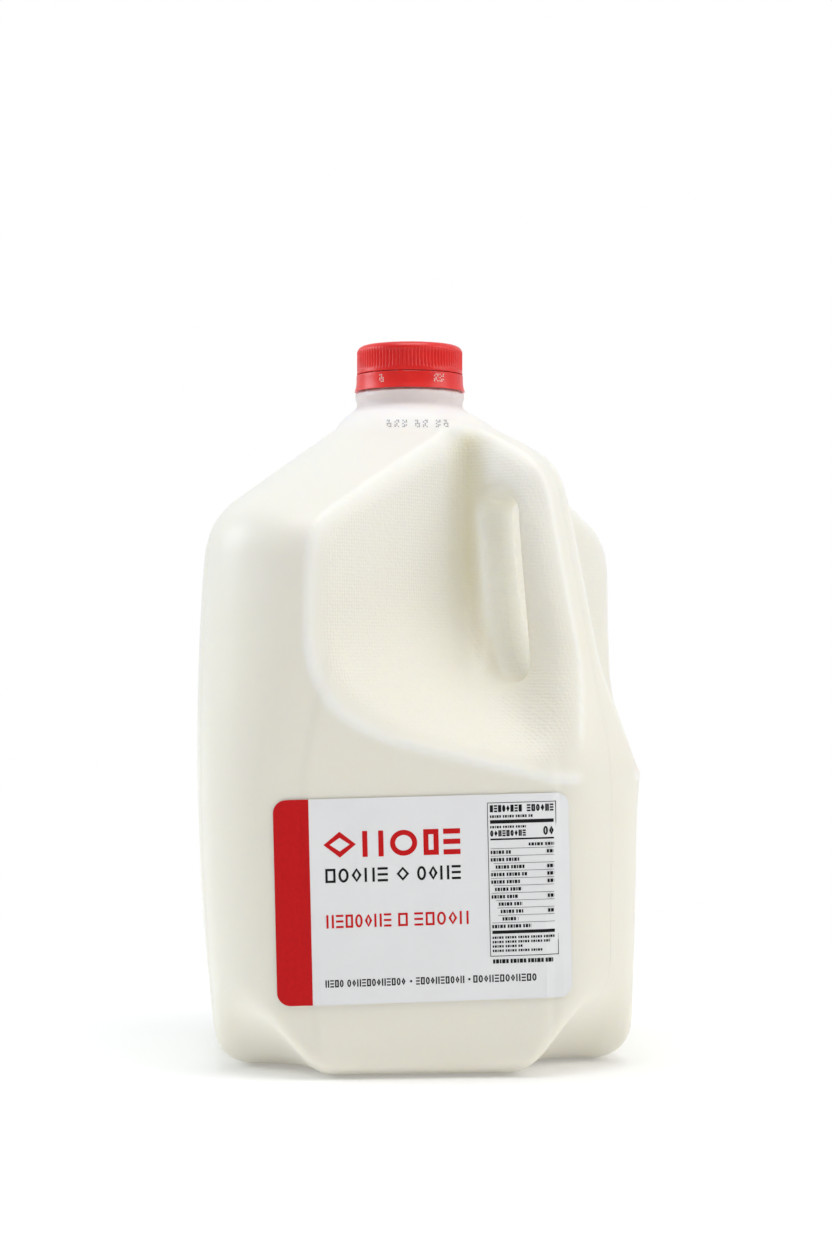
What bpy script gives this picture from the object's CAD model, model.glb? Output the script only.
# %% [markdown]
# # A gallon of milk
# This notebook dresses a full plastic milk jug: the milky blown body with its handle, the ribbed red cap,
# the band that tears off under it, and the label. The solids come ready made, at their real size in metres,
# with +Z up and the neck over the origin. We first load them and keep their box, because nothing we add may
# reach outside it.

import math

import bmesh
import bpy
import numpy as np
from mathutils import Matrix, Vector


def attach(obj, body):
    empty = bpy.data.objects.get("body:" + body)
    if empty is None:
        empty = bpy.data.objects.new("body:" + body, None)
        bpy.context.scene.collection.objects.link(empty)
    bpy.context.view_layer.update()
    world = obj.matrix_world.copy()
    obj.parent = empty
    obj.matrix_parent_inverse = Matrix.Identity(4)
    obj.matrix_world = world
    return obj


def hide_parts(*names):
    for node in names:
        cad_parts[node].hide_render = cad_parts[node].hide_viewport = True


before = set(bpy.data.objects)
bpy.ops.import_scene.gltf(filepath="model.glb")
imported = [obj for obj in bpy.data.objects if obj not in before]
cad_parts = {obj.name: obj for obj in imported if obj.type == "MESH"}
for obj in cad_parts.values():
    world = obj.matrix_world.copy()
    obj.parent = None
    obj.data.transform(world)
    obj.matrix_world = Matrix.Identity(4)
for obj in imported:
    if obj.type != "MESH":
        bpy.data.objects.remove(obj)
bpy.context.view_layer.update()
scene = bpy.context.scene
MM = 0.001
ROOT2 = math.sqrt(2)

# %% [markdown]
# ## The camera
# The jug was photographed from about a metre away, a little above its middle, with the label's wall nearly
# square to the lens and the handle's corner turned to the right. We place the camera by its bearing,
# distance and height. The small tilt and shift put the jug where it stands in the picture, a little below
# the middle.

# %% Place the camera
PICTURE = (832, 1248)
BEARING = math.radians(40)
DISTANCE = 1.0
EYE_HEIGHT = 0.137
LENS = 78.3
HORIZON_AT = 677  # the row of the picture that lies at the height of the eye
AXIS_AT = 409.7  # the column that the neck's axis falls on

camera_data = bpy.data.cameras.new("camera")
camera_data.lens = LENS
camera_data.sensor_width = 36
camera_data.shift_x = (PICTURE[0] / 2 - AXIS_AT) / PICTURE[1]
camera_data.shift_y = (HORIZON_AT - PICTURE[1] / 2) / PICTURE[1]
camera = bpy.data.objects.new("camera", camera_data)
scene.collection.objects.link(camera)
camera.location = (DISTANCE * math.sin(BEARING), -DISTANCE * math.cos(BEARING), EYE_HEIGHT)
camera.rotation_euler = (math.radians(90), 0, BEARING)
scene.camera = camera
print("camera at", [round(n, 3) for n in camera.location])

# %% [markdown]
# ## The studio
# The picture is a bright studio shot: the floor and the background are white, and only a faint soft shadow
# shows where the jug stands. A white room does most of the work: it is bright beside, above and behind the
# jug and dimmer on the lens's side, which gives the walls their soft shading. Three large soft lamps, on the
# left, on the right and above, lift the left wall, the hand space and the shoulder. The Standard view keeps
# white at full white.

# %% Helpers for materials and nodes
def clear_choice():
    if bpy.context.object and bpy.context.object.mode != "OBJECT":
        bpy.ops.object.mode_set(mode="OBJECT")
    bpy.ops.object.select_all(action="DESELECT")


def shader_of(material):
    return material.node_tree.nodes["Principled BSDF"]


def new_material(name, colour, roughness):
    """A material with its Principled shader set, ready for nodes."""
    material = bpy.data.materials.new(name)
    material.use_nodes = True
    shader = shader_of(material)
    shader.inputs["Base Color"].default_value = (*colour, 1)
    shader.inputs["Roughness"].default_value = roughness
    return material


def add_node(tree, kind, place=(0, 0), **values):
    """A node of this kind in a node tree, with its properties and its unlinked sockets set by name."""
    node = tree.nodes.new(kind)
    node.location = place
    for name, value in values.items():
        if name in node.inputs:
            node.inputs[name].default_value = value
        else:
            setattr(node, name, value)
    return node


# %% Floor
FLOOR_GLOW = 0.16
SHADOW_KEPT_TO = 0.22  # metres from the axis; further out the floor fades into plain white
WHITE_FROM = 0.6

scene.view_settings.view_transform = "Standard"
clear_choice()
bpy.ops.mesh.primitive_plane_add(size=12, location=(0, 0, -0.0004))
floor = bpy.context.object
floor.name = "floor"
floor_white = new_material("floor_white", (0.86, 0.86, 0.85), 0.7)
shader_of(floor_white).inputs["Emission Color"].default_value = (1, 1, 1, 1)
shader_of(floor_white).inputs["Emission Strength"].default_value = FLOOR_GLOW
tree = floor_white.node_tree
where = add_node(tree, "ShaderNodeTexCoord", (-900, 300))
outward = add_node(tree, "ShaderNodeVectorMath", (-700, 300), operation="LENGTH")
tree.links.new(where.outputs["Object"], outward.inputs[0])
far = add_node(tree, "ShaderNodeMapRange", (-500, 300), interpolation_type="SMOOTHSTEP")
far.inputs["From Min"].default_value = SHADOW_KEPT_TO
far.inputs["From Max"].default_value = WHITE_FROM
tree.links.new(outward.outputs["Value"], far.inputs["Value"])
white = add_node(tree, "ShaderNodeEmission", (-300, 100), Strength=1.0)
blend = add_node(tree, "ShaderNodeMixShader", (300, 200))
tree.links.new(far.outputs["Result"], blend.inputs["Fac"])
tree.links.new(shader_of(floor_white).outputs[0], blend.inputs[1])
tree.links.new(white.outputs[0], blend.inputs[2])
tree.links.new(blend.outputs[0], tree.nodes["Material Output"].inputs["Surface"])
floor.data.materials.append(floor_white)
print("floor:", round(floor.dimensions.x), "m wide")

# %% White room
ROOM_BRIGHT = 0.72  # the white room beside, above and behind the jug
ROOM_DIM = 0.16  # and on the lens's side

world = bpy.data.worlds.new("studio")
scene.world = world
world.use_nodes = True
tree = world.node_tree
backdrop = tree.nodes["Background"]
backdrop.inputs["Color"].default_value = (1, 1, 1, 1)
backdrop.inputs["Strength"].default_value = 1.0
direction = add_node(tree, "ShaderNodeTexCoord", (-1000, -200))
toward_lens = add_node(tree, "ShaderNodeVectorMath", (-800, -200), operation="DOT_PRODUCT")
toward_lens.inputs[1].default_value = (math.sin(BEARING), -math.cos(BEARING), 0)
tree.links.new(direction.outputs["Generated"], toward_lens.inputs[0])
room = add_node(tree, "ShaderNodeMapRange", (-600, -200), interpolation_type="SMOOTHSTEP")
room.inputs["From Min"].default_value = -0.2
room.inputs["From Max"].default_value = 1.0
room.inputs["To Min"].default_value = ROOM_BRIGHT
room.inputs["To Max"].default_value = ROOM_DIM
tree.links.new(toward_lens.outputs["Value"], room.inputs["Value"])
fill = add_node(tree, "ShaderNodeBackground", (-300, -200), Color=(0.97, 0.985, 1.0, 1))
tree.links.new(room.outputs["Result"], fill.inputs["Strength"])
seen = add_node(tree, "ShaderNodeLightPath", (-300, 300))
either = add_node(tree, "ShaderNodeMixShader", (0, 100))
tree.links.new(seen.outputs["Is Camera Ray"], either.inputs["Fac"])
tree.links.new(fill.outputs[0], either.inputs[1])
tree.links.new(backdrop.outputs[0], either.inputs[2])
tree.links.new(either.outputs[0], tree.nodes["World Output"].inputs["Surface"])
print("room:", len(tree.nodes), "nodes")


# %% Lamps
def soft_lamp(name, place, target, size, power, colour):
    lamp_data = bpy.data.lights.new(name, "AREA")
    lamp_data.color = colour
    lamp_data.shape = "SQUARE"
    lamp_data.size = size
    lamp_data.energy = power
    lamp = bpy.data.objects.new(name, lamp_data)
    scene.collection.objects.link(lamp)
    lamp.location = place
    aim = Vector(target) - Vector(place)
    lamp.rotation_euler = aim.to_track_quat("-Z", "Y").to_euler()
    return lamp


soft_lamp("left_lamp", (-1.5, -0.9, 0.9), (0, 0, 0.12), 0.9, 10, (0.80, 0.91, 1.0))
soft_lamp("right_lamp", (1.25, 0.5, 0.9), (0, 0, 0.12), 0.9, 5.0, (1.0, 0.99, 0.96))
soft_lamp("top_lamp", (0.3, -0.25, 1.5), (0, 0, 0.1), 1.0, 10, (1.0, 1.0, 1.0))

# %% [markdown]
# ## The jug's form
# A blown jug is all soft rounds that run into each other, which is hard to model patch by patch. It is easy
# as one formula, though: each wall, slope, scoop and hole is a simple distance, and a blended maximum or
# minimum rounds the crease between two of them. The formula is negative inside the plastic and positive
# outside. The source of the solids holds the same formula with the same numbers.

# %% Rounded creases
def smooth_max(a, b, blend):
    overlap = np.maximum(blend - np.abs(a - b), 0) / blend
    return np.maximum(a, b) + overlap * overlap * blend / 4


def smooth_min(a, b, blend):
    return -smooth_max(-a, -b, blend)


def eased(value, ends):
    """0 below the first end and 1 above the second, with a smooth turn between."""
    t = np.clip((value - ends[0]) / (ends[1] - ends[0]), 0, 1)
    return t * t * (3 - 2 * t)


# %% Walls
WALL_REACH = 77.6 * MM
FRONT_BULGE = 4.5 * MM
BULGE_Z = (80 * MM, 150 * MM)
FRONT_BARREL = 1.0 * MM
BACK_BARREL = 3.0 * MM
BARREL_HEIGHT = 112 * MM
BARREL_SPAN = 75 * MM
LOW_CORNER = (44 * MM, 34 * MM)
HIGH_CORNER = (35.6 * MM, 42 * MM)
CORNER_TURN_Z = (95 * MM, 155 * MM)
CORNER_CREASE_ROUND = 4 * MM
BACK_CORNER_R = 34 * MM
CORNER_FACE_X = 92.2 * MM
HANDLE_LEAN = 0.235
HANDLE_LEAN_FROM_Z = 104 * MM
HANDLE_LEAN_ROUND = 12 * MM
CORNER_FACE_ROUND = 9 * MM


def wall_reach(z, front=True):
    """How far the middle of a wall is from the axis at height z."""
    off_middle = ((z - BARREL_HEIGHT) / BARREL_SPAN) ** 2
    if front:
        return WALL_REACH + FRONT_BULGE * eased(z, BULGE_Z) - FRONT_BARREL * off_middle
    return WALL_REACH - BACK_BARREL * off_middle


def round_corner(over_u, over_v, inset, radius):
    """Outside a corner rounded about a centre that lies inset within both walls."""
    past_u, past_v = over_u + inset, over_v + inset
    beyond = np.hypot(np.maximum(past_u, 0), np.maximum(past_v, 0))
    within = np.minimum(np.minimum(past_u, past_v), 0)
    return beyond + within - radius


def side_walls(x, u, v, z):
    over_u = np.abs(u) - np.where(u > 0, wall_reach(z), wall_reach(z, front=False))
    over_v = np.abs(v) - np.where(v > 0, wall_reach(z), wall_reach(z, front=False))
    walls = np.maximum(over_u, over_v)
    turn = eased(z, CORNER_TURN_Z)
    inset = WALL_REACH - (LOW_CORNER[0] + (HIGH_CORNER[0] - LOW_CORNER[0]) * turn)
    radius = LOW_CORNER[1] + (HIGH_CORNER[1] - LOW_CORNER[1]) * turn
    side = smooth_max(walls, round_corner(over_u, over_v, inset, radius), CORNER_CREASE_ROUND)
    back = np.maximum(walls, round_corner(over_u, over_v, BACK_CORNER_R, BACK_CORNER_R))
    walls = np.where((u < 0) & (v < 0), back, side)
    lean = HANDLE_LEAN * smooth_max(z - HANDLE_LEAN_FROM_Z, 0 * z, HANDLE_LEAN_ROUND)
    corner_face = (x - CORNER_FACE_X + lean) / math.hypot(1, HANDLE_LEAN)
    return smooth_max(walls, corner_face, CORNER_FACE_ROUND)


# %% Shoulder and neck
SHOULDER_TOP_Z = 233 * MM
SHOULDER_TOP_R = 20 * MM
SHOULDER_SLOPE = 0.73
SHOULDER_ROUND = 9 * MM
SHOULDER_CUT_Z = 232 * MM
RIDGE_Z = 244 * MM
RIDGE_SLOPE = 0.47
RIDGE_TOP_Z = 228.6 * MM
RIDGE_ROUND = 8 * MM
HANDLE_HALF_WIDTH = 13 * MM
NECK_PROFILE = [(212, 14), (222, 24.2), (230.2, 24.6), (232.2, 23.4), (233.9, 21.2), (235.2, 19.9),
                (236.4, 19.3), (237.6, 19.4), (238.8, 19.9), (239.9, 20.1), (241.1, 19.9), (241.5, 17.6),
                (254.4, 17.6), (255.2, 16.8)]  # height and radius in mm
NECK_Z, NECK_R = np.array(NECK_PROFILE).T * MM
NECK_ROOT_ROUND = 5 * MM


def shoulder(x, y, u, v, z):
    spread = (u**4 + v**4) ** 0.25
    cone = (z - SHOULDER_TOP_Z + SHOULDER_SLOPE * (spread - SHOULDER_TOP_R)) / math.hypot(1, SHOULDER_SLOPE)
    ridge = (z - RIDGE_Z + RIDGE_SLOPE * x) / math.hypot(1, RIDGE_SLOPE)
    ridge = smooth_max(ridge, z - RIDGE_TOP_Z, RIDGE_ROUND)
    ridge = smooth_max(ridge, np.maximum(np.abs(y) - HANDLE_HALF_WIDTH, -x), RIDGE_ROUND)
    return np.maximum(smooth_min(cone, ridge, RIDGE_ROUND), z - SHOULDER_CUT_Z)


def neck(x, y, z):
    return np.maximum(np.hypot(x, y) - np.interp(z, NECK_Z, NECK_R), z - NECK_Z[-1])


# %% Feet
SCOOP_R = 32 * MM
SCOOP_HIGH = (118.5 * MM, 7 * MM)
SCOOP_LOW = (83 * MM, -26 * MM)
SCOOP_SHIFT = 5 * MM
SCOOP_ROUND = 6 * MM
FOOT_ROUND = 14 * MM


def scoops(x, y, z):
    run = np.array(SCOOP_LOW) - np.array(SCOOP_HIGH)
    run = run / np.linalg.norm(run)
    found = []
    for along, across in ((x + SCOOP_SHIFT, y), (-x, y), (y, x), (-y, x)):
        off_line = (along - SCOOP_HIGH[0]) * run[1] - (z - SCOOP_HIGH[1]) * run[0]
        found.append(np.hypot(off_line, across) - SCOOP_R)
    return np.minimum.reduce(found)


# %% Hand space and handle
PALM_WALL_X = 33 * MM
PALM_WALL_TURN = 0.03
RAMP_LIP_Z = 117 * MM
RAMP_LIP_FALL = 0.25
RAMP_SLOPE = 0.75
RAMP_RIDGE_ROUND = 14 * MM
RAMP_TO_WALL_ROUND = 26 * MM
LIP_ROUND = 6 * MM
WEB_HALF_WIDTH = 6 * MM
WEB_FLARE = 0.45
STRIP_HALF_WIDTH = 5.5 * MM
STRIP_CHAMFER = 5.5 * MM
STRIP_ROUND = 5 * MM
ROOT_Z = (98 * MM, 148 * MM)
ROOT_SPREAD = 11 * MM
HANDLE_ROOT_ROUND = 12 * MM
HOLE_TOP = (50 * MM, 194 * MM)
HOLE_FOOT = (55.5 * MM, 140.5 * MM)
HOLE_R = 8 * MM
HOLE_ROUND = 6 * MM


def hand_space(x, y, u, v, z):
    palm_wall = PALM_WALL_X - PALM_WALL_TURN * np.abs(y) - x
    front_ramp = RAMP_LIP_Z - RAMP_LIP_FALL * u + RAMP_SLOPE * (WALL_REACH - v)
    side_ramp = RAMP_LIP_Z - RAMP_LIP_FALL * v + RAMP_SLOPE * (WALL_REACH - u)
    ramp = (smooth_min(front_ramp, side_ramp, RAMP_RIDGE_ROUND) - z) / math.hypot(1, RAMP_SLOPE)
    return smooth_max(palm_wall, ramp, RAMP_TO_WALL_ROUND)


def strip_edge(y, z):
    """Outside the strip down the handle's outer side, which widens into the flat below."""
    return np.abs(y) - STRIP_HALF_WIDTH - ROOT_SPREAD * (1 - eased(z, ROOT_Z))


def handle_bar(x, y, z, outside):
    half_width = np.clip(WEB_HALF_WIDTH + WEB_FLARE * (x - PALM_WALL_X), WEB_HALF_WIDTH, HANDLE_HALF_WIDTH)
    off_strip = strip_edge(y, z)
    slab = off_strip + STRIP_HALF_WIDTH - half_width
    run = HANDLE_HALF_WIDTH - STRIP_HALF_WIDTH
    bevel = (STRIP_CHAMFER * off_strip + run * outside) / math.hypot(STRIP_CHAMFER, run)
    along = np.array(HOLE_FOOT) - np.array(HOLE_TOP)
    t = np.clip(((x - HOLE_TOP[0]) * along[0] + (z - HOLE_TOP[1]) * along[1]) / (along @ along), 0, 1)
    hole = HOLE_R - np.hypot(x - HOLE_TOP[0] - t * along[0], z - HOLE_TOP[1] - t * along[1])
    return smooth_max(smooth_max(slab, bevel, STRIP_ROUND), hole, HOLE_ROUND)


# %% The whole form
BEAD_WIDTH = 1.3 * MM
BEAD_DEPTH = 3 * MM  # how far under the wall it may still lie where the edge is rounded
LIP_BEAD = 0.6 * MM  # how high the fine bead round the hand space stands
LIP_BEAD_AT = 3.0 * MM  # how far outside the hand space it runs
LIP_BEAD_Y = (13 * MM, 19 * MM)  # where it fades in beside the handle
STRIP_BEAD = 0.5 * MM  # how high the two beads along the handle's strip stand
STRIP_BEAD_IN = (2 * MM, 8 * MM)  # where they fade in inside the hand space


def beads(x, y, z, space, outside):
    """The fine raised lines that the mould leaves round the hand space and along the handle."""
    on_wall = np.exp(-((outside / BEAD_DEPTH) ** 2))
    round_space = LIP_BEAD * np.exp(-(((space - LIP_BEAD_AT) / BEAD_WIDTH) ** 2))
    round_space = round_space * eased(np.abs(y), LIP_BEAD_Y)
    along_strip = STRIP_BEAD * np.exp(-((strip_edge(y, z) / BEAD_WIDTH) ** 2))
    along_strip = along_strip * eased(-space, STRIP_BEAD_IN)
    return on_wall * (round_space + along_strip)


def bead_share(x, y, z, space, outside):
    """1 on the crest of a bead and 0 away from it."""
    return np.clip(beads(x, y, z, space, outside) / STRIP_BEAD, 0, 1)


def jug_form(points):
    x, y, z = points[..., 0], points[..., 1], points[..., 2]
    u, v = (x + y) / ROOT2, (x - y) / ROOT2
    outside = smooth_max(side_walls(x, u, v, z), shoulder(x, y, u, v, z), SHOULDER_ROUND)
    space = hand_space(x, y, u, v, z)
    kept = smooth_min(-space, handle_bar(x, y, z, outside), HANDLE_ROOT_ROUND)
    form = smooth_max(outside, kept, LIP_ROUND) - beads(x, y, z, space, outside)
    form = smooth_max(form, -z, FOOT_ROUND)
    form = smooth_max(form, -scoops(x, y, z), SCOOP_ROUND)
    return smooth_min(form, neck(x, y, z), NECK_ROOT_ROUND)


def slope_of(form, points, step=0.05 * MM):
    sides = [(form(points + step * axis) - form(points - step * axis)) / (2 * step) for axis in np.eye(3)]
    return np.stack(sides, axis=-1)


# %% [markdown]
# ## The jug's skin
# The solid is coarse, because it is kept light for the physics. For the picture we copy it, merge the copy's
# loose triangles, and remesh it into even little squares. Each point is then moved along the form's slope
# until it lies on the formula's surface, which gives a skin with no facets at all. The flat foot stays flat
# at the floor.

# %% Fine skin
SKIN_SQUARE = 1.5 * MM
SETTLE_ROUNDS = 5


def use_modifier(piece, kind, **values):
    """Adds a modifier, sets it and applies it."""
    clear_choice()
    bpy.context.view_layer.objects.active = piece
    piece.select_set(True)
    modifier = piece.modifiers.new(kind.lower(), kind)
    for name, value in values.items():
        setattr(modifier, name, value)
    bpy.ops.object.modifier_apply(modifier=modifier.name)


def points_of(piece):
    flat = np.empty(len(piece.data.vertices) * 3)
    piece.data.vertices.foreach_get("co", flat)
    return flat.reshape(-1, 3)


def set_points(piece, points):
    piece.data.vertices.foreach_set("co", np.ascontiguousarray(points, dtype=np.float32).ravel())
    piece.data.update()


def copy_of_node(node_name, name):
    """A new object with a merged copy of a solid's mesh."""
    mesh = bpy.data.meshes.new(name)
    bm = bmesh.new()
    bm.from_mesh(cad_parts[node_name].data)
    bmesh.ops.remove_doubles(bm, verts=bm.verts[:], dist=1e-6)
    bm.to_mesh(mesh)
    bm.free()
    piece = bpy.data.objects.new(name, mesh)
    scene.collection.objects.link(piece)
    return piece


jug = copy_of_node("jug", "jug_skin")
use_modifier(jug, "REMESH", mode="VOXEL", voxel_size=SKIN_SQUARE)
points = points_of(jug)
for _ in range(SETTLE_ROUNDS):
    slope = slope_of(jug_form, points)
    off = jug_form(points) / np.maximum((slope * slope).sum(-1), 1e-6)
    points = points - slope * np.clip(off, -SKIN_SQUARE, SKIN_SQUARE)[:, None]
points[:, 2] = np.maximum(points[:, 2], 0)
set_points(jug, points)
jug.data.shade_smooth()
above_foot = points[points[:, 2] > 1 * MM]
print("jug skin:", len(jug.data.polygons), "squares; above the foot the worst point is off the form by",
      round(float(np.abs(jug_form(above_foot)).max() / MM), 3), "mm")

# %% [markdown]
# ## Marks on the skin
# The plastic doesn't look the same everywhere. It is stippled inside the hand space and on the handle, it
# turns yellower where the handle's web folds into the wall, light that comes through the thin handle
# brightens the wall inside the finger hole, and the fine beads catch the light. The same formula tells how
# strong each effect is at each point of the skin, and the points keep these four numbers for the material.

# %% Marks on the skin
FOLD_WIDTH = 14 * MM
FOLD_FROM_Z = (125 * MM, 185 * MM)
STIPPLE_FROM_Z = (98 * MM, 106 * MM)
POCKET_EDGE = (1 * MM, 4 * MM)  # how far under the wall the hand space's own surface starts
PALM_SIDE = (-1 * MM, 4 * MM)  # from the hole's middle towards the palm wall
HOLE_LIGHT_REACH = HOLE_R + 5 * MM
HOLE_LIGHT_FADE = (0, 4 * MM)


def mark_points(piece, name, values):
    """Keeps one number for each point, which a material reads by its name."""
    piece.data.attributes.new(name, "FLOAT", "POINT").data.foreach_set("value", values.astype(np.float32))


x, y, z = points.T
u, v = (x + y) / ROOT2, (x - y) / ROOT2
outside = smooth_max(side_walls(x, u, v, z), shoulder(x, y, u, v, z), SHOULDER_ROUND)
space = hand_space(x, y, u, v, z)
web = handle_bar(x, y, z, outside)
in_pocket = eased(-outside, POCKET_EDGE) * eased(z, STIPPLE_FROM_Z)
mark_points(jug, "stippled", in_pocket)
in_fold = np.clip(1 - np.abs(web + space) / FOLD_WIDTH, 0, 1)
mark_points(jug, "fold", in_pocket * in_fold * eased(z, FOLD_FROM_Z))
mark_points(jug, "bead", bead_share(x, y, z, space, outside))
hole_x = np.interp(z, (HOLE_FOOT[1], HOLE_TOP[1]), (HOLE_FOOT[0], HOLE_TOP[0]))
in_hole = eased(hole_x - x, PALM_SIDE) * eased(HOLE_LIGHT_REACH - hole_x + x, HOLE_LIGHT_FADE)
in_hole = in_hole * eased(HANDLE_HALF_WIDTH - np.abs(y), HOLE_LIGHT_FADE)
in_hole = in_hole * eased(z, (HOLE_FOOT[1] - HOLE_R, HOLE_FOOT[1]))
mark_points(jug, "in_hole", in_hole * eased(HOLE_TOP[1] + HOLE_R - z, (0, HOLE_R)))
print("marks:", sorted(mark.name for mark in jug.data.attributes if mark.data_type == "FLOAT"))

# %% [markdown]
# ## Milky plastic
# The jug is thin white plastic that lets light through to the milk behind it, so light sinks in, spreads and
# comes back a little creamy: that is subsurface scattering. Over the neck there is no milk, and the plastic
# is whiter and thinner. The mould leaves a fine grain, and its two halves leave a faint line all round,
# along Y = 0. Each tint is blended over the colour so far, and each bump is added to the normal so far, so
# two small helpers do all of them.

# %% Helpers for node trees
def join(material, source, target):
    material.node_tree.links.new(source, target)


def set_ramp(node, stops):
    ramp = node.color_ramp
    while len(ramp.elements) < len(stops):
        ramp.elements.new(0.5)
    for element, (place, colour) in zip(ramp.elements, stops):
        element.position = place
        element.color = (*colour, 1)


def tint_where(material, mark, mode, tint, colour, place):
    """Blends a tint over a colour where the skin's points carry this mark, and gives the new colour."""
    above = (place[0], place[1] + 250)
    read = add_node(material.node_tree, "ShaderNodeAttribute", above, attribute_name=mark)
    mix = add_node(material.node_tree, "ShaderNodeMixRGB", place, blend_type=mode, Color2=(*tint, 1))
    join(material, read.outputs["Fac"], mix.inputs["Fac"])
    join(material, colour, mix.inputs["Color1"])
    return mix.outputs["Color"]


def bump_from(material, height, normal, strength, depth, place):
    """Raises the surface by a pattern, on top of the bumps made so far, and gives the new normal."""
    bump = add_node(material.node_tree, "ShaderNodeBump", place, Strength=strength, Distance=depth)
    join(material, height, bump.inputs["Height"])
    if normal:
        join(material, normal, bump.inputs["Normal"])
    return bump.outputs["Normal"]


def mottled(material, dark, light, scale, detail):
    """Colours a material by a soft noise between two close colours; gives the place that patterns read."""
    where = add_node(material.node_tree, "ShaderNodeTexCoord", (-1000, 0)).outputs["Object"]
    noise = add_node(material.node_tree, "ShaderNodeTexNoise", (-800, 150), Scale=scale, Detail=detail)
    join(material, where, noise.inputs["Vector"])
    tint = add_node(material.node_tree, "ShaderNodeValToRGB", (-600, 150))
    set_ramp(tint, [(0.3, dark), (0.7, light)])
    join(material, noise.outputs["Fac"], tint.inputs["Fac"])
    join(material, tint.outputs["Color"], shader_of(material).inputs["Base Color"])
    return where


def toothed(material, where, scale, strength):
    """Gives a material a very fine uneven surface."""
    tooth = add_node(material.node_tree, "ShaderNodeTexNoise", (-800, -150), Scale=scale, Detail=2.0)
    join(material, where, tooth.inputs["Vector"])
    normal = bump_from(material, tooth.outputs["Fac"], None, strength, 0.0001, (-400, -150))
    join(material, normal, shader_of(material).inputs["Normal"])


# %% Milky plastic's colours
MILK = (0.885, 0.853, 0.755)
THIN_MILK = (0.875, 0.86, 0.80)  # near the top of the milk
EMPTY_PLASTIC = (0.92, 0.905, 0.89)
UNDER_CAP = (0.80, 0.72, 0.70)  # the neck takes a little red from the band
FOLD_TINT = (0.93, 0.90, 0.74)
THROUGH_HANDLE = (1.0, 0.985, 0.88)
BEAD_CREST = (0.955, 0.94, 0.88)

milky = new_material("milky_plastic", MILK, 0.36)
shader = shader_of(milky)
shader.inputs["Subsurface Weight"].default_value = 0.4
shader.inputs["Subsurface Radius"].default_value = (1.0, 0.85, 0.55)
shader.inputs["Subsurface Scale"].default_value = 0.002
shader.inputs["Specular IOR Level"].default_value = 0.4

tree = milky.node_tree
where = add_node(tree, "ShaderNodeTexCoord", (-1400, 0))
axes = add_node(tree, "ShaderNodeSeparateXYZ", (-1200, 200))
join(milky, where.outputs["Object"], axes.inputs[0])
height = add_node(tree, "ShaderNodeMapRange", (-1000, 300))
height.inputs["From Min"].default_value = 0.15
height.inputs["From Max"].default_value = 0.25
join(milky, axes.outputs["Z"], height.inputs["Value"])
level = add_node(tree, "ShaderNodeValToRGB", (-800, 300))
set_ramp(level, [(0.0, MILK), (0.74, THIN_MILK), (0.83, EMPTY_PLASTIC), (0.86, UNDER_CAP)])
join(milky, height.outputs["Result"], level.inputs["Fac"])
colour = tint_where(milky, "fold", "MULTIPLY", FOLD_TINT, level.outputs["Color"], (-500, 400))
colour = tint_where(milky, "in_hole", "MIX", THROUGH_HANDLE, colour, (-250, 400))
colour = tint_where(milky, "bead", "MIX", BEAD_CREST, colour, (0, 400))
join(milky, colour, shader.inputs["Base Color"])
print("milky plastic's colour goes through", len(tree.nodes), "nodes")

# %% Milky plastic's surface
STIPPLES_PER_METRE = 850
STIPPLE_STRENGTH = 0.7

grain = add_node(tree, "ShaderNodeTexNoise", (-1000, -200), Scale=1600.0, Detail=2.0, Roughness=0.5)
join(milky, where.outputs["Object"], grain.inputs["Vector"])
waves = add_node(tree, "ShaderNodeTexNoise", (-1000, -450), Scale=22.0, Detail=1.0)
join(milky, where.outputs["Object"], waves.inputs["Vector"])
from_seam = add_node(tree, "ShaderNodeMath", (-1000, 50), operation="ABSOLUTE")
join(milky, axes.outputs["Y"], from_seam.inputs[0])
seam = add_node(tree, "ShaderNodeMapRange", (-800, 50), interpolation_type="SMOOTHSTEP")
seam.inputs["From Min"].default_value = 0.0005
seam.inputs["From Max"].default_value = 0.0
join(milky, from_seam.outputs[0], seam.inputs["Value"])
stipple = add_node(tree, "ShaderNodeTexVoronoi", (-500, -500), Scale=STIPPLES_PER_METRE, Randomness=0.35)
join(milky, where.outputs["Object"], stipple.inputs["Vector"])
stippled = add_node(tree, "ShaderNodeAttribute", (-500, -750), attribute_name="stippled")
amount = add_node(tree, "ShaderNodeMath", (-300, -600), operation="MULTIPLY")
amount.inputs[1].default_value = STIPPLE_STRENGTH
join(milky, stippled.outputs["Fac"], amount.inputs[0])

normal = bump_from(milky, grain.outputs["Fac"], None, 0.12, 0.0002, (-500, -200))
normal = bump_from(milky, waves.outputs["Fac"], normal, 0.25, 0.0012, (-300, -200))
normal = bump_from(milky, seam.outputs["Result"], normal, 0.5, 0.0003, (-100, -200))
normal = bump_from(milky, stipple.outputs["Distance"], normal, 1.0, 0.0003, (80, -200))
join(milky, amount.outputs[0], normal.node.inputs["Strength"])
join(milky, normal, shader.inputs["Normal"])

jug.data.materials.clear()
jug.data.materials.append(milky)
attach(jug, "root")
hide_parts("jug")
print("milky plastic on", jug.name)

# %% [markdown]
# ## The cap
# A screw cap is a turned shape with ribs to grip. The quickest way by hand is to draw half of its section
# and spin it round the axis. Then the points of the side wall are pulled in between the ribs, more in the
# middle of their height than at the ends, so that the ribs fade into a smooth ring below and the rounded
# edge above.

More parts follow.
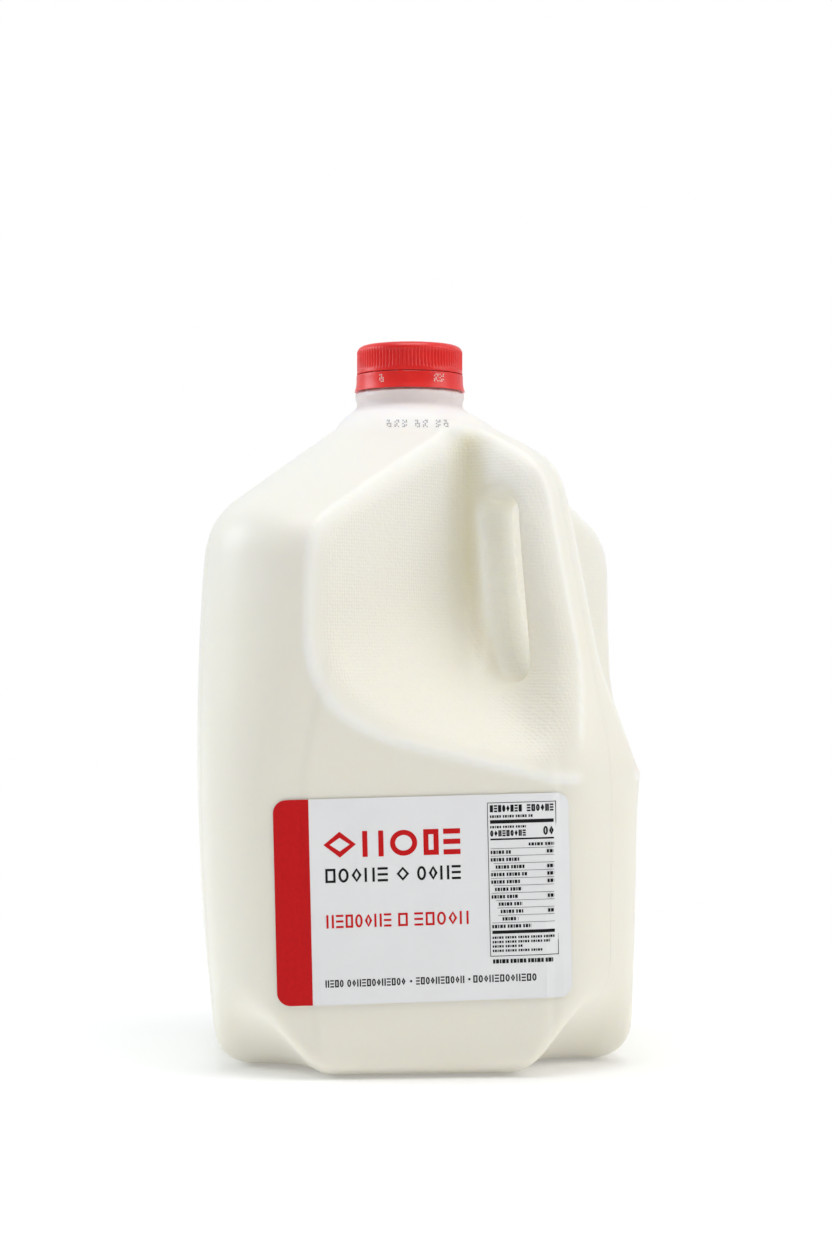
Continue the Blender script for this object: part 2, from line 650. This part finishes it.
# %% Spun sections
def spun(name, section, steps):
    """Spins a closed section of (radius, height) points round the Z axis into a solid."""
    clear_choice()
    mesh = bpy.data.meshes.new(name)
    loop = [(i, (i + 1) % len(section)) for i in range(len(section))]
    if section[0][0] == 0:
        loop = loop[:-1]
    mesh.from_pydata([(r, 0, z) for r, z in section], loop, [])
    piece = bpy.data.objects.new(name, mesh)
    scene.collection.objects.link(piece)
    bpy.context.view_layer.objects.active = piece
    piece.select_set(True)
    bpy.ops.object.mode_set(mode="EDIT")
    bpy.ops.mesh.select_all(action="SELECT")
    bpy.ops.mesh.spin(steps=steps, angle=2 * math.pi, center=(0, 0, 0), axis=(0, 0, 1))
    bpy.ops.mesh.select_all(action="SELECT")
    bpy.ops.mesh.remove_doubles(threshold=0.00002)
    bpy.ops.mesh.normals_make_consistent(inside=False)
    bpy.ops.object.mode_set(mode="OBJECT")
    return piece


def smooth_by_angle(piece, degrees):
    clear_choice()
    bpy.context.view_layer.objects.active = piece
    piece.select_set(True)
    bpy.ops.object.shade_smooth_by_angle(angle=math.radians(degrees))


# %% Cap
CAP_RIBS = 90
CAP_SIDE_R = 19.3 * MM  # whatever lies further out belongs to the side wall
CAP_EDGE_R = 2.7  # mm, as in the section
RIB_DEPTH = 0.4 * MM
RIB_FOOT, RIB_HEAD = 249.3 * MM, 255.6 * MM
RIB_FADE_FOOT, RIB_FADE_HEAD = 0.9 * MM, 1.2 * MM

section = [(0, 255.6), (17.9, 255.6), (17.9, 248.1), (19.3, 248.1), (19.46, 248.18), (19.5, 248.4)]
section += [(19.42, 248.95)]
section += [(19.4, z) for z in (249.15, 249.3, 249.6, 250.2, 252.4, 254.6, 255.2, 255.6)]
quarter = np.linspace(0, math.pi / 2, 9)
section += [(19.45 - CAP_EDGE_R * (1 - math.cos(t)), 255.9 + CAP_EDGE_R * math.sin(t)) for t in quarter]
section += [(15.9, 258.6), (15.6, 258.5), (15.4, 258.3), (15.0, 258.25), (9.0, 258.25), (0, 258.25)]
cap = spun("cap_skin", [(r * MM, z * MM) for r, z in section], CAP_RIBS * 6)
points = points_of(cap)
radius = np.hypot(points[:, 0], points[:, 1])
turn = np.arctan2(points[:, 1], points[:, 0])
on_side = (radius > CAP_SIDE_R) & (points[:, 2] > RIB_FOOT - 0.05 * MM) & (points[:, 2] < RIB_HEAD + 1.6 * MM)
rise = np.clip((points[:, 2] - RIB_FOOT) / RIB_FADE_FOOT, 0, 1)
rise = rise * np.clip((RIB_HEAD + RIB_FADE_HEAD - points[:, 2]) / RIB_FADE_HEAD, 0, 1)
dip = RIB_DEPTH * rise * (0.5 - 0.5 * np.cos(CAP_RIBS * turn)) ** 1.3
scale = np.where(on_side, 1 - dip / np.maximum(radius, 1e-6), 1)
points[:, :2] *= scale[:, None]
set_points(cap, points)
smooth_by_angle(cap, 50)
print("cap:", len(cap.data.polygons), "faces")

# %% Band
BAND_BRIDGES = 12
BRIDGE_HEIGHT = 0.16 * MM
BAND_TOP_Z = 247.65 * MM
section = [(17.95, 243.0), (19.4, 241.95), (19.8, 241.82), (20.15, 241.8), (20.3, 241.95), (20.22, 242.3),
           (20.0, 242.9), (19.78, 243.8), (19.65, 244.8), (19.6, 246.4), (19.6, 247.5), (19.55, 247.72),
           (19.4, 247.8), (18.6, 247.8), (17.95, 247.6)]
band = spun("band_skin", [(r * MM, z * MM) for r, z in section], 360)
points = points_of(band)
turn = np.arctan2(points[:, 1], points[:, 0])
top = points[:, 2] > BAND_TOP_Z
bridge = np.clip(np.cos(BAND_BRIDGES * turn) * 8 - 7, 0, 1)
points[top, 2] += BRIDGE_HEIGHT * bridge[top]
set_points(band, points)
smooth_by_angle(band, 50)
print("band:", len(band.data.polygons), "faces")

# %% [markdown]
# ## Red plastic
# The cap and band are moulded from one red plastic, a little glossy. Some light sinks in, so thin edges look
# lighter than the ribs, and a very fine unevenness keeps the highlights from being perfect.

# %% Red plastic material
red = new_material("cap_red", (0.68, 0.018, 0.014), 0.3)
shader = shader_of(red)
shader.inputs["Subsurface Weight"].default_value = 0.15
shader.inputs["Subsurface Radius"].default_value = (1.0, 0.2, 0.1)
shader.inputs["Subsurface Scale"].default_value = 0.0015
where = mottled(red, (0.72, 0.014, 0.012), (0.86, 0.028, 0.022), 90.0, 3.0)
toothed(red, where, 1400.0, 0.1)

for piece, node in ((cap, "cap"), (band, "tear_band")):
    piece.data.materials.clear()
    piece.data.materials.append(red)
    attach(piece, "root")
    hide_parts(node)
print("red plastic on", cap.name, "and", band.name)

# %% [markdown]
# ## The label
# The label is a sheet with round corners that was pressed on a little askew. We start from a plane of its
# size, round its four corners with a bevel, cut it into small squares so that it can bend, give it a
# thickness, and lay it on the wall with the same formula that shapes the wall.

# %% Label sheet
LABEL_WIDTH = 101 * MM
LABEL_HEIGHT = 70 * MM
LABEL_CORNER_R = 4.5 * MM
LABEL_CENTRE = (-2 * MM, 61.5 * MM)
LABEL_TILT = math.radians(1.4)
LABEL_THICK = 0.4 * MM
LABEL_GAP = 0.4 * MM
LABEL_COLUMNS, LABEL_ROWS = 34, 16  # the small squares that let it bend


def lay_on_wall(points):
    """Takes points of the flat label, drawn about its middle, onto the wall; Z is the height off it."""
    along = points[:, 0] * math.cos(LABEL_TILT) - points[:, 1] * math.sin(LABEL_TILT) + LABEL_CENTRE[0]
    high = points[:, 0] * math.sin(LABEL_TILT) + points[:, 1] * math.cos(LABEL_TILT) + LABEL_CENTRE[1]
    wall = wall_reach(high)
    for _ in range(4):
        wall = wall - side_walls((along + wall) / ROOT2, along, wall, high)
    off = wall + LABEL_GAP + points[:, 2]
    return np.stack([(along + off) / ROOT2, (along - off) / ROOT2, high], axis=-1)


def cut_into_strips(piece, width, height, columns, rows):
    """Bisects a flat piece so that it can bend."""
    clear_choice()
    bpy.context.view_layer.objects.active = piece
    piece.select_set(True)
    bpy.ops.object.mode_set(mode="EDIT")
    for n in range(1, columns):
        bpy.ops.mesh.select_all(action="SELECT")
        bpy.ops.mesh.bisect(plane_co=(width * (n / columns - 0.5), 0, 0), plane_no=(1, 0, 0))
    for n in range(1, rows):
        bpy.ops.mesh.select_all(action="SELECT")
        bpy.ops.mesh.bisect(plane_co=(0, height * (n / rows - 0.5), 0), plane_no=(0, 1, 0))
    bpy.ops.object.mode_set(mode="OBJECT")


def rounded_sheet(name, width, height, corner_r, segments):
    clear_choice()
    bpy.ops.mesh.primitive_plane_add(size=1, location=(0, 0, 0))
    piece = bpy.context.object
    piece.name = name
    bpy.ops.object.mode_set(mode="EDIT")
    bpy.ops.mesh.select_all(action="SELECT")
    bpy.ops.transform.resize(value=(width, height, 1))
    bpy.ops.mesh.bevel(offset=corner_r, segments=segments, affect="VERTICES")
    bpy.ops.object.mode_set(mode="OBJECT")
    return piece


label = rounded_sheet("label_sheet", LABEL_WIDTH, LABEL_HEIGHT, LABEL_CORNER_R, 8)
cut_into_strips(label, LABEL_WIDTH, LABEL_HEIGHT, LABEL_COLUMNS, LABEL_ROWS)
use_modifier(label, "SOLIDIFY", thickness=LABEL_THICK, offset=1)
set_points(label, lay_on_wall(points_of(label)))
print("label:", len(label.data.polygons), "faces")

# %% [markdown]
# ## Coated paper
# The label is smooth coated paper, cool white beside the creamy jug. A soft cloud in its colour and a very
# fine tooth keep it from looking like a screen.

# %% Coated paper material
paper = new_material("coated_paper", (0.72, 0.72, 0.73), 0.45)
where = mottled(paper, (0.85, 0.85, 0.86), (0.89, 0.89, 0.90), 40.0, 4.0)
toothed(paper, where, 2500.0, 0.06)


def dress_label_piece(piece, material):
    piece.data.materials.clear()
    piece.data.materials.append(material)
    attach(piece, "root")


dress_label_piece(label, paper)
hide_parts("label")
print("coated paper on", label.name)

# %% [markdown]
# ## Printing inks
# The print has two inks, a deep red and a near black, and the sprayed dots have two more, a grey and a pale
# one. Ink on paper is never quite even, so each gets a slight mottle.

# %% Ink materials
def ink(name, colour, roughness):
    material = new_material(name, colour, roughness)
    dark = tuple(0.96 * c for c in colour)
    light = tuple(min(1, 1.04 * c) for c in colour)
    mottled(material, dark, light, 700.0, 3.0)
    shader_of(material).inputs["Specular IOR Level"].default_value = 0.12
    return material


red_ink = ink("red_ink", (0.60, 0.009, 0.011), 0.5)
dark_ink = ink("dark_ink", (0.012, 0.012, 0.013), 0.45)
grey_ink = ink("grey_ink", (0.30, 0.30, 0.31), 0.5)
pale_ink = ink("pale_ink", (0.85, 0.62, 0.58), 0.5)
print("inks:", red_ink.name, dark_ink.name, grey_ink.name, pale_ink.name)

# %% [markdown]
# ## The red field
# A red field covers the label's left end and follows its round corners. It is the same rounded sheet,
# bisected at the field's edge with the rest cleared away, and it stands a hair proud of the paper, as a film
# of ink does.

# %% Red field
FIELD_WIDTH = 12 * MM
INK_UNDER, INK_OVER = 0.02 * MM, 0.05 * MM


def print_on_label(piece, material):
    """Gives a flat piece the thickness of a film of ink and lays it on the label."""
    use_modifier(piece, "SOLIDIFY", thickness=INK_UNDER + INK_OVER, offset=1)
    points = points_of(piece)
    points[:, 2] += LABEL_THICK - INK_UNDER
    set_points(piece, lay_on_wall(points))
    dress_label_piece(piece, material)


field = rounded_sheet("label_field", LABEL_WIDTH, LABEL_HEIGHT, LABEL_CORNER_R, 8)
bpy.ops.object.mode_set(mode="EDIT")
bpy.ops.mesh.select_all(action="SELECT")
bpy.ops.mesh.bisect(plane_co=(FIELD_WIDTH - LABEL_WIDTH / 2, 0, 0), plane_no=(1, 0, 0), clear_outer=True)
bpy.ops.object.mode_set(mode="OBJECT")
cut_into_strips(field, LABEL_WIDTH, LABEL_HEIGHT, LABEL_COLUMNS, LABEL_ROWS)
print_on_label(field, red_ink)
print("red field:", len(field.data.polygons), "faces")

# %% [markdown]
# ## Rows of print
# The rest of the print is rows of small plain figures: frames, rings, diamonds, bars and blocks, spaced like
# words. They say nothing, but give the label its rhythm of large red and small dark rows. Each figure is a
# few flat faces measured from the label's top left corner, so one list of places makes a whole row.

# %% Plain figures
def from_corner(a, b):
    """A point a mm from the label's left edge and b mm below its top edge."""
    return (a * MM - LABEL_WIDTH / 2, LABEL_HEIGHT / 2 - b * MM, 0.0)


def bar(sheet, a0, b0, a1, b1):
    """A filled rectangle between two corners."""
    sheet.append([from_corner(a0, b1), from_corner(a1, b1), from_corner(a1, b0), from_corner(a0, b0)])


def ring(sheet, a0, b0, a1, b1, stroke, sides, turn=0.0):
    """An outline with this many sides that fills a rectangle."""
    mid_a, mid_b, half_a, half_b = (a0 + a1) / 2, (b0 + b1) / 2, (a1 - a0) / 2, (b1 - b0) / 2
    grow = 1 / math.cos(math.pi / 4) if sides == 4 and turn else 1
    loops = []
    for inward in (0, stroke):
        loop = []
        for n in range(sides):
            angle = turn + 2 * math.pi * n / sides
            loop.append(from_corner(mid_a + (half_a - inward) * grow * math.cos(angle),
                                    mid_b - (half_b - inward) * grow * math.sin(angle)))
        loops.append(loop)
    outer, inner = loops
    for n in range(sides):
        m = (n + 1) % sides
        sheet.append([outer[n], outer[m], inner[m], inner[n]])


def figure(sheet, kind, a0, b0, a1, b1, stroke):
    if kind == "frame":
        ring(sheet, a0, b0, a1, b1, stroke, 4, math.pi / 4)
    elif kind == "diamond":
        ring(sheet, a0, b0, a1, b1, stroke * 1.2, 4)
    elif kind == "ring":
        ring(sheet, a0, b0, a1, b1, stroke, 28)
    elif kind == "posts":
        bar(sheet, a0, b0, a0 + stroke, b1)
        bar(sheet, a1 - stroke, b0, a1, b1)
    elif kind == "rungs":
        for at in (b0, (b0 + b1 - stroke) / 2, b1 - stroke):
            bar(sheet, a0, at, a1, at + stroke)
    else:
        bar(sheet, a0, b0, a1, b1)


KINDS = ("frame", "posts", "ring", "rungs", "diamond")
FIGURE_SHARE = 0.78  # of the pitch; the rest is the space to the next figure


def word(sheet, a0, a1, b0, b1, count, stroke, start=0):
    """Evenly spaced figures between a0 and a1."""
    pitch = (a1 - a0) / count
    for n in range(count):
        kind = KINDS[(n * 2 + start) % len(KINDS)]
        figure(sheet, kind, a0 + n * pitch, b0, a0 + (n + FIGURE_SHARE) * pitch, b1, stroke)


def small_row(sheet, a0, a1, middle, tall, block=0.85, gap=0.3):
    """A row of little blocks, wide and narrow by turns, for print too small to read."""
    at, turn = a0, 0
    while at < a1:
        wide = block * (0.8, 1.1, 0.6, 1.2, 0.9)[turn % 5]
        bar(sheet, at, middle - tall / 2, min(at + wide, a1), middle + tall / 2)
        at += wide + gap * (1, 1, 1, 1, 2.6)[turn % 5]
        turn += 1


# %% Large and small rows
red_sheet, dark_sheet = [], []
large_row = [("diamond", 16.8, 27.8), ("posts", 30.0, 37.2), ("ring", 39.4, 48.7), ("frame", 50.8, 56.0)]
large_row += [("rungs", 57.6, 63.4)]
for kind, a0, a1 in large_row:
    figure(red_sheet, kind, a0, 11.2, a1, 20.0, 1.75)
word(dark_sheet, 17.2, 39.4, 23.7, 28.5, 5, 0.8)
word(dark_sheet, 41.4, 46.9, 23.7, 28.5, 1, 0.8, 4)
word(dark_sheet, 48.4, 64.2, 23.7, 28.5, 4, 0.8, 2)
word(red_sheet, 17.2, 40.0, 39.4, 43.9, 7, 0.72, 1)
word(red_sheet, 41.6, 45.8, 39.4, 43.9, 1, 0.72)
word(red_sheet, 47.1, 66.5, 39.4, 43.9, 5, 0.72, 3)
word(dark_sheet, 16.4, 22.9, 61.5, 64.0, 4, 0.45, 1)
word(dark_sheet, 23.8, 44.0, 61.5, 64.0, 12, 0.45, 2)
bar(dark_sheet, 45.2, 62.4, 45.9, 63.1)
word(dark_sheet, 47.2, 64.1, 61.5, 64.0, 10, 0.45, 3)
bar(dark_sheet, 65.1, 62.4, 65.8, 63.1)
word(dark_sheet, 66.8, 88.9, 61.5, 64.0, 12, 0.45)

# %% [markdown]
# ## The table
# At the label's right end stands a framed table: a bold head, two thick rules, thin rules between short
# rows, and a few lines of the finest print at its foot.

# %% Table of small rows
LEFT, RIGHT = 73.7, 95.6
ring(dark_sheet, 72.8, 2.8, 96.5, 55.3, 0.22, 4, math.pi / 4)
word(dark_sheet, LEFT, 85.0, 3.7, 6.1, 8, 0.55, 1)
word(dark_sheet, 86.4, RIGHT + 0.3, 3.7, 6.1, 6, 0.55, 3)
small_row(dark_sheet, LEFT, 88.5, 7.6, 0.9, 0.6, 0.25)
bar(dark_sheet, LEFT, 8.8, RIGHT, 10.0)
small_row(dark_sheet, LEFT, 86.0, 11.2, 0.8, 0.6, 0.25)
word(dark_sheet, LEFT, 86.2, 12.3, 14.4, 9, 0.5, 2)
word(dark_sheet, 91.9, RIGHT + 0.4, 11.3, 14.3, 2, 0.6, 2)
bar(dark_sheet, LEFT, 15.1, RIGHT, 15.65)
small_row(dark_sheet, 86.8, RIGHT, 17.3, 1.0, 0.8, 0.3)
rows = [(0, 6.9, 1), (0, 9.7, 0), (1.6, 10.0, 1), (0, 12.4, 1), (0, 9.8, 1), (1.2, 9.2, 0), (0, 9.0, 1)]
rows += [(2.4, 8.1, 0), (3.0, 8.0, 1), (3.6, 5.4, 0), (0, 13.4, 0)]
for n, (indent, length, mark) in enumerate(rows):
    middle = 19.8 + 2.53 * n
    bar(dark_sheet, LEFT + indent * 0.6, middle - 1.32, RIGHT, middle - 1.2)
    small_row(dark_sheet, LEFT + indent, LEFT + indent + length, middle, 1.15, 0.75, 0.28)
    if mark:
        small_row(dark_sheet, 93.0, RIGHT - 0.2, middle, 1.15, 0.9, 0.3)
bar(dark_sheet, LEFT, 46.5, RIGHT, 47.6)
for middle, length in ((48.9, 21.6), (50.4, 19.8), (51.9, 10.4), (53.4, 17.4)):
    small_row(dark_sheet, LEFT, LEFT + length, middle, 0.8, 0.6, 0.25)
small_row(dark_sheet, LEFT, 94.4, 57.0, 1.4, 0.95, 0.25)


def print_sheet(name, faces, material):
    mesh = bpy.data.meshes.new(name)
    corners = [corner for face in faces for corner in face]
    mesh.from_pydata(corners, [], [list(range(4 * n, 4 * n + 4)) for n in range(len(faces))])
    piece = bpy.data.objects.new(name, mesh)
    scene.collection.objects.link(piece)
    clear_choice()
    bpy.context.view_layer.objects.active = piece
    piece.select_set(True)
    bpy.ops.object.mode_set(mode="EDIT")
    bpy.ops.mesh.select_all(action="SELECT")
    bpy.ops.mesh.remove_doubles(threshold=0.000005)
    bpy.ops.mesh.normals_make_consistent(inside=False)
    bpy.ops.object.mode_set(mode="OBJECT")
    if sum(polygon.normal.z for polygon in mesh.polygons) < 0:
        mesh.flip_normals()
    cut_into_strips(piece, LABEL_WIDTH, LABEL_HEIGHT, LABEL_COLUMNS, LABEL_ROWS)
    print_on_label(piece, material)
    print(name, len(faces), "figures' faces")
    return piece


print_sheet("label_print_red", red_sheet, red_ink)
print_sheet("label_print_dark", dark_sheet, dark_ink)

# %% [markdown]
# ## Ink-jet marks
# A machine sprays a row of grey dots on the shoulder below the neck, and two small pale groups on the band.
# They are printed straight at the jug from the front, so each dot is aimed at the surface and laid where it
# lands.

# %% Sprayed dots
from mathutils.bvhtree import BVHTree

AIM = Vector((-math.sin(BEARING), math.cos(BEARING), 0))
ACROSS = Vector((math.cos(BEARING), math.sin(BEARING), 0))
DOT_PATTERNS = ((1, 1, 0, 0, 1, 0, 1, 1, 1, 1, 0, 1, 0, 1, 1), (0, 1, 1, 1, 0, 1, 0, 1, 0, 1, 1, 0, 1, 0, 1),
                (1, 0, 1, 0, 1, 1, 1, 0, 0, 0, 1, 1, 1, 1, 0))


def sprayed_dots(name, target, places, dot, pitch, material):
    """Square dots in patterns of three columns and five rows; places are (across, height) of each pattern."""
    surface = BVHTree.FromObject(target, bpy.context.evaluated_depsgraph_get())
    corners, faces = [], []
    for order, (across, high) in enumerate(places):
        for n, wanted in enumerate(DOT_PATTERNS[order % 3]):
            if not wanted:
                continue
            middle = (across + (n % 3 - 1) * pitch, high + (2 - n // 3) * pitch)
            for side_a, side_b in ((-1, -1), (1, -1), (1, 1), (-1, 1)):
                aim_from = ACROSS * (middle[0] + side_a * dot / 2) - AIM * 0.2
                aim_from += Vector((0, 0, middle[1] + side_b * dot / 2))
                place, normal, _, _ = surface.ray_cast(aim_from, AIM)
                corners.append(place + normal * 0.03 * MM)
            faces.append([len(corners) - 4, len(corners) - 3, len(corners) - 2, len(corners) - 1])
    mesh = bpy.data.meshes.new(name)
    mesh.from_pydata(corners, [], faces)
    piece = bpy.data.objects.new(name, mesh)
    scene.collection.objects.link(piece)
    use_modifier(piece, "SOLIDIFY", thickness=0.05 * MM, offset=-1)
    piece.data.materials.append(material)
    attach(piece, "root")
    print(name, len(faces), "dots")


row_height = 227.8 * MM
places = [(a * MM, row_height) for a in (-7.4, -4.6, -1.8, 2.8, 5.6, 10.2, 13.0)]
sprayed_dots("date_dots", jug, places, 0.42 * MM, 0.62 * MM, grey_ink)
sprayed_dots("band_dots", band, [(-10.2 * MM, 245.3 * MM), (9.6 * MM, 245.5 * MM), (11.6 * MM, 245.5 * MM)],
             0.4 * MM, 0.6 * MM, pale_ink)
